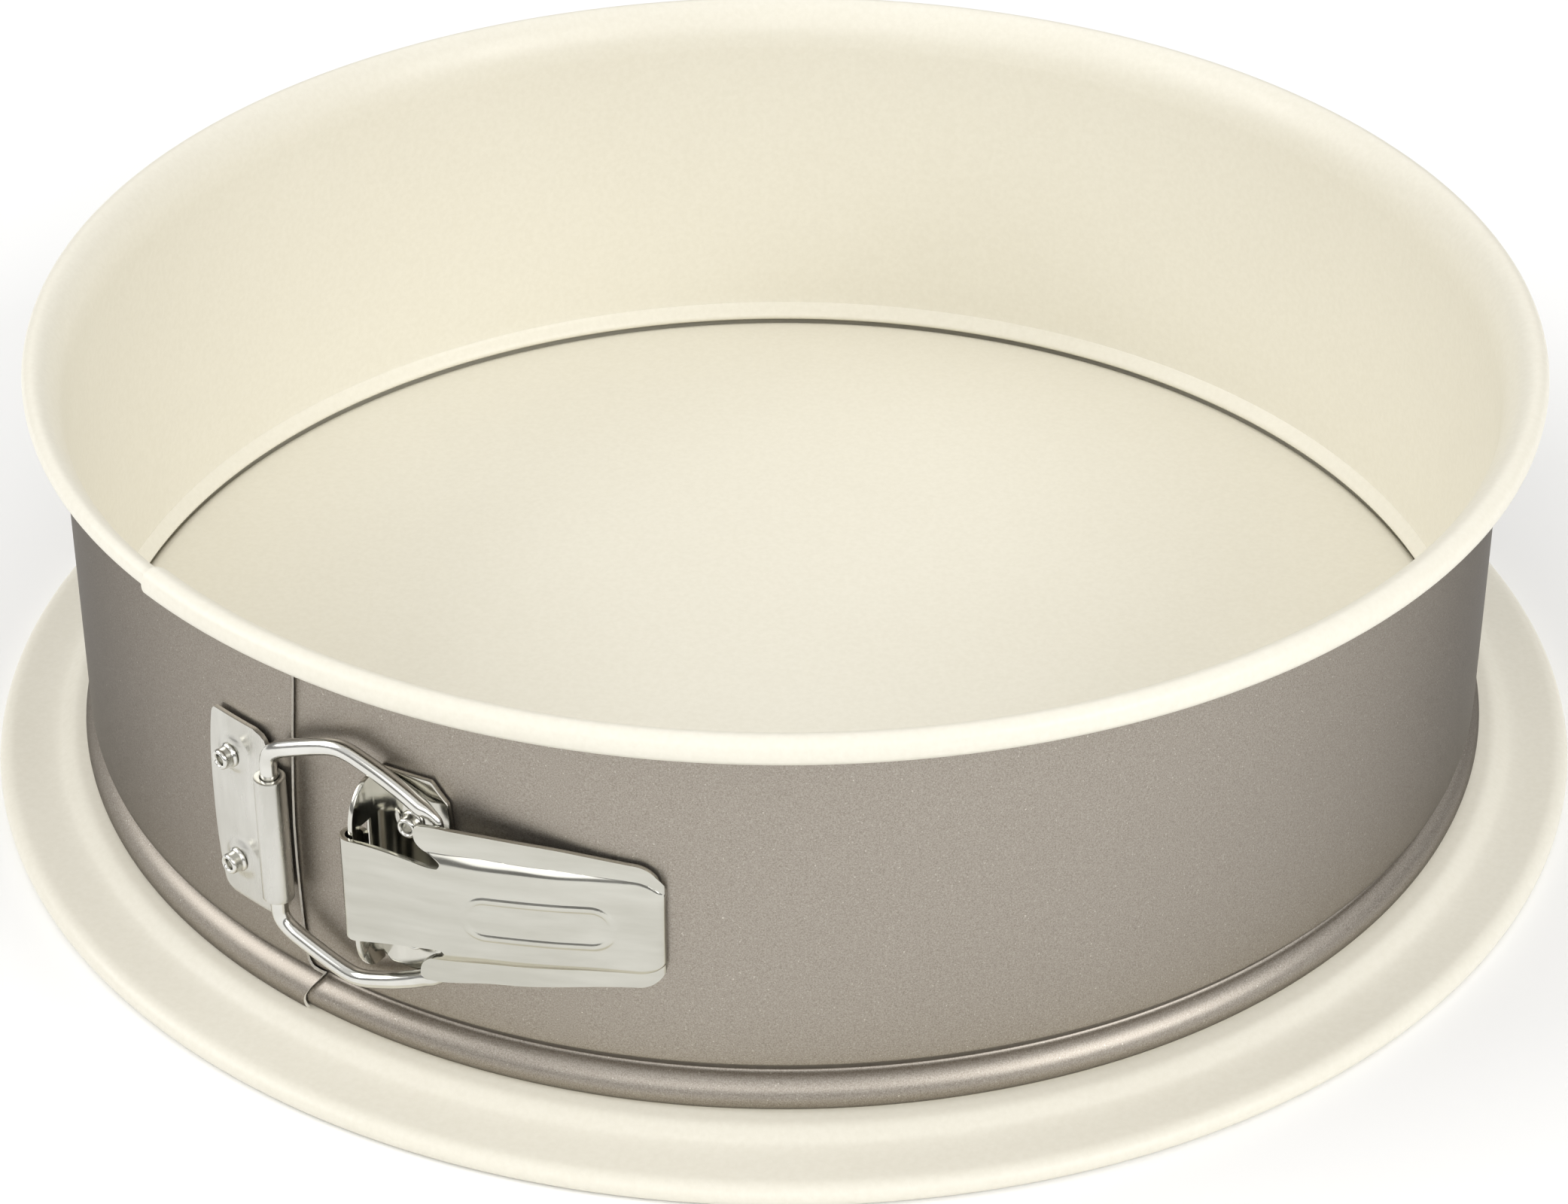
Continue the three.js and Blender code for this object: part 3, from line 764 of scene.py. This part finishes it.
def emboss(x, z):
    along = max(abs(x - EMBOSS["x"]) - EMBOSS["half"], 0.0)
    distance = abs(math.hypot(along, z - EMBOSS["z"]) - EMBOSS["radius"])
    return EMBOSS["tall"] * math.exp(-((distance / EMBOSS["width"]) ** 2))


def face_point(x, share):
    half = FACE_HALF - FACE_CORNER * corner_cut(x)
    z = share * half
    y = looked_up(FRONT, x) - LEVER_CROWN * (1 - share * share) - emboss(x, z) + end_bend(x)
    return Vector((x, y, z))


def flange_point(x, share):
    """share runs from 0 at the face to 1 at the outer edge."""
    inner = FACE_HALF - FACE_CORNER * corner_cut(x)
    foot = max(looked_up(FRONT, x, 2) - FOOT_CORNER * corner_cut(x), inner + 0.3)
    outer = max(looked_up(FRONT, x, 4) - corner_cut(x), foot + 0.1)
    z = mix(inner, outer, share)
    face_y, flange_y = looked_up(FRONT, x), looked_up(FRONT, x, 3)
    if z < foot:
        y = mix(face_y, flange_y - SHOULDER_LIP, ((z - inner) / (foot - inner)) ** SHOULDER_POWER)
    else:
        y = mix(flange_y - SHOULDER_LIP, flange_y, (z - foot) / (outer - foot))
    return Vector((x, y + end_bend(x), z))


def make_lever():
    """One stamping: a curl round the bracket's bar, a tongue, and a raised face with flanges and ears."""
    pivot = around(PIVOT_R, PIVOT_ANGLE, CLASP_Z)
    middle = CURL_BORE_R + LEVER_SHEET / 2
    shares = [k / 36 - 1 for k in range(73)]
    rows = []
    for i in range(30):
        turn = math.radians(20 + 250 * i / 30)
        x, y = middle * math.cos(turn), middle * math.sin(turn)
        rows.append([Vector((x, y, CURL_HALF * s)) for s in shares])
    for i in range(24):
        x = NOTCH_X * i / 24
        y, half = looked_up(TONGUE, x), looked_up(TONGUE, x, 2)
        rows.append([Vector((x, y - LEVER_CROWN * (1 - s * s) * x / NOTCH_X, half * s)) for s in shares])
    steps = [1 - (1 - i / 140) ** 1.15 for i in range(141)]
    rows += [[face_point(mix(NOTCH_X, LEVER_END, t), s) for s in shares] for t in steps]
    bm = bmesh.new()
    grid_surface(bm, [[(pivot + p) * MM for p in row] for row in rows])
    outward = [k / 34 for k in range(35)]
    for side in (1, -1):
        grid = []
        for t in steps:
            row = []
            for share in outward:
                left = looked_up(EAR_EDGE, mix(FACE_HALF, EAR_HALF, share))
                p = flange_point(mix(left, LEVER_END, t), share)
                row.append((pivot + Vector((p.x, p.y, side * p.z))) * MM)
            grid.append(row)
        grid_surface(bm, grid)
    bmesh.ops.remove_doubles(bm, verts=bm.verts, dist=0.00002)
    piece = solid_sheet(finish_mesh("lever_stamping", bm, 50.0), LEVER_SHEET, 0.16)
    mark_used(give(piece, LEVER_NICKEL), "lever", "nickel_plate", "lever")


# A hollow rivet in section, from the centre of its inner end out to the lip of its tube (radius, height).
RIVET_HEAD = [
    (0.0, 0.75), (0.75, 0.8), (0.9, 1.1), (0.95, 1.9), (1.08, 2.35), (1.35, 2.55), (1.65, 2.4), (1.82, 2.0),
    (1.84, 1.1), (1.9, 0.75), (2.1, 0.5), (2.2, 0.3), (2.15, 0.1), (1.6, 0.1),
]


def make_rivet(name, body, radius, angle, height, lift, inner_head, node):
    """Turned about the line that points out of the wall."""
    sides = 40
    outward = around(1.0, angle)
    across = Vector((outward.y, -outward.x, 0.0))
    origin = around(radius + CLASP_SHEET + lift, angle, height)
    head = curve_through(RIVET_HEAD[1:], 3)
    tail = -(radius + CLASP_SHEET + lift - WALL_R + SHEET)
    if inner_head:
        shank = [
            (1.6, tail), (2.7, tail), (2.95, tail - 0.2), (2.7, tail - 0.6), (1.8, tail - 0.8),
            (0.0, tail - 0.8),
        ]
    else:
        shank = [(1.6, tail + SHEET), (0.0, tail + SHEET)]
    section = [Vector(RIVET_HEAD[0]), *head, *[Vector(p) for p in shank]]
    bm = bmesh.new()
    rows = []
    for p in section[1:-1]:
        rows.append([
            (origin + outward * p.y + (across * math.cos(2 * math.pi * k / sides)
             + Vector((0, 0, 1)) * math.sin(2 * math.pi * k / sides)) * p.x) * MM
            for k in range(sides)
        ])
    made = grid_surface(bm, rows, closed=True)
    for ring, p in ((made[0], section[0]), (made[-1], section[-1])):
        centre = bm.verts.new((origin + outward * p.y) * MM)
        for k in range(sides):
            bm.faces.new([ring[k], ring[(k + 1) % sides], centre])
    piece = give(finish_mesh(name, bm, 45.0), RIVET_NICKEL)
    mark_used(piece, body, "rivet_steel", node)


def make_rivets():
    sets = (
        ("hinge_rivet", "ring_tail", HINGE_PLATE_R, HINGE_RIVETS, 0.75, False),
        ("bracket_rivet", "ring_front", BRACKET_R, BRACKET_RIVETS, 0.55, True),
    )
    for stem, body, radius, rivets, lift, inner_head in sets:
        for place in ("upper", "lower"):
            name = f"{stem}_{place}"
            make_rivet(name + "_turned", body, radius, rivets["angle"], rivets[place], lift, inner_head, name)


# ---- floor, light and camera -------------------------------------------------

PHOTO_WIDTH = 2083
FOCAL_PIXELS = 5500
CAMERA_DISTANCE = 0.7837
CAMERA_PITCH = 32.87
CAMERA_AZIMUTH = 16.0
CAMERA_TARGET = (0.0, 0.0, 0.0212)


def make_camera():
    data = bpy.data.cameras.new("camera")
    data.sensor_width = 36.0
    data.lens = FOCAL_PIXELS / PHOTO_WIDTH * data.sensor_width
    data.clip_start = 0.01
    camera = bpy.data.objects.new("camera", data)
    bpy.context.scene.collection.objects.link(camera)
    pitch, turn = math.radians(CAMERA_PITCH), math.radians(CAMERA_AZIMUTH)
    back = Vector((math.sin(turn) * math.cos(pitch), -math.cos(turn) * math.cos(pitch), math.sin(pitch)))
    camera.location = Vector(CAMERA_TARGET) + back * CAMERA_DISTANCE
    camera.rotation_mode = "QUATERNION"
    camera.rotation_quaternion = (-back).to_track_quat("-Z", "Y")
    bpy.context.scene.camera = camera


def make_floor():
    bm = bmesh.new()
    bmesh.ops.create_grid(bm, x_segments=2, y_segments=2, size=6.0)
    floor = finish_mesh("floor", bm)
    floor.location.z = -0.0002
    n = Nodes("floor_white")
    white = n.ramp(n.noise(3.0), (0.3, (0.93, 0.93, 0.925)), (0.7, (0.95, 0.95, 0.945)))
    n.link(white, n.shader.inputs["Base Color"])
    n.value("Roughness", 0.8)
    n.value("Specular IOR Level", 0.1)
    give(floor, n.material)


def area_light(name, place, target, size, power):
    data = bpy.data.lights.new(name, "AREA")
    data.shape = "RECTANGLE"
    data.size, data.size_y = size
    data.energy = power
    light = bpy.data.objects.new(name, data)
    bpy.context.scene.collection.objects.link(light)
    light.location = place
    light.rotation_mode = "QUATERNION"
    light.rotation_quaternion = (Vector(target) - Vector(place)).to_track_quat("-Z", "Y")


# The tent's light: height, from 0 at the horizon to 1 overhead, and level.
SKY = ((0.0, 0.5), (0.06, 0.3), (0.26, 0.34), (0.46, 1.0))
SKY_STRENGTH = 0.77
# Soft boxes: name, place, what it points at, size, power.
LIGHTS = (
    ("right", (1.8, -0.8, 1.2), (0, 0, 0.05), (1.5, 1.2), 23.0),
    ("left", (-1.8, -0.5, 1.2), (0, 0, 0.05), (1.5, 1.2), 19.0),
    ("front", (0.2, -1.75, 1.1), (0, 0, 0.04), (1.6, 1.0), 7.5),
    ("top", (0.1, -0.3, 1.9), (0, 0, 0), (1.6, 1.1), 1.0),
)


def make_light():
    """A tent, bright overhead and darker below, with soft boxes at each side, in front and overhead."""
    world = bpy.data.worlds.new("studio")
    world.use_nodes = True
    tree = world.node_tree
    background = tree.nodes["Background"]
    place = tree.nodes.new("ShaderNodeTexCoord")
    split = tree.nodes.new("ShaderNodeSeparateXYZ")
    ramp = tree.nodes.new("ShaderNodeValToRGB")
    while len(ramp.color_ramp.elements) < len(SKY):
        ramp.color_ramp.elements.new(0.5)
    for element, (at, level) in zip(ramp.color_ramp.elements, SKY):
        element.position = at
        element.color = (level, level * 0.995, level * 0.985, 1.0)
    tree.links.new(place.outputs["Generated"], split.inputs[0])
    tree.links.new(split.outputs["Z"], ramp.inputs["Fac"])
    tree.links.new(ramp.outputs["Color"], background.inputs["Color"])
    background.inputs["Strength"].default_value = SKY_STRENGTH
    bpy.context.scene.world = world
    for light in LIGHTS:
        area_light(*light)
    view = bpy.context.scene.view_settings
    view.view_transform = "Standard"
    view.look = "None"


make_camera()
make_floor()
make_light()
make_ring()
make_base_plate()
make_hinge_plate()
make_bail()
make_bracket()
make_lever()
make_rivets()
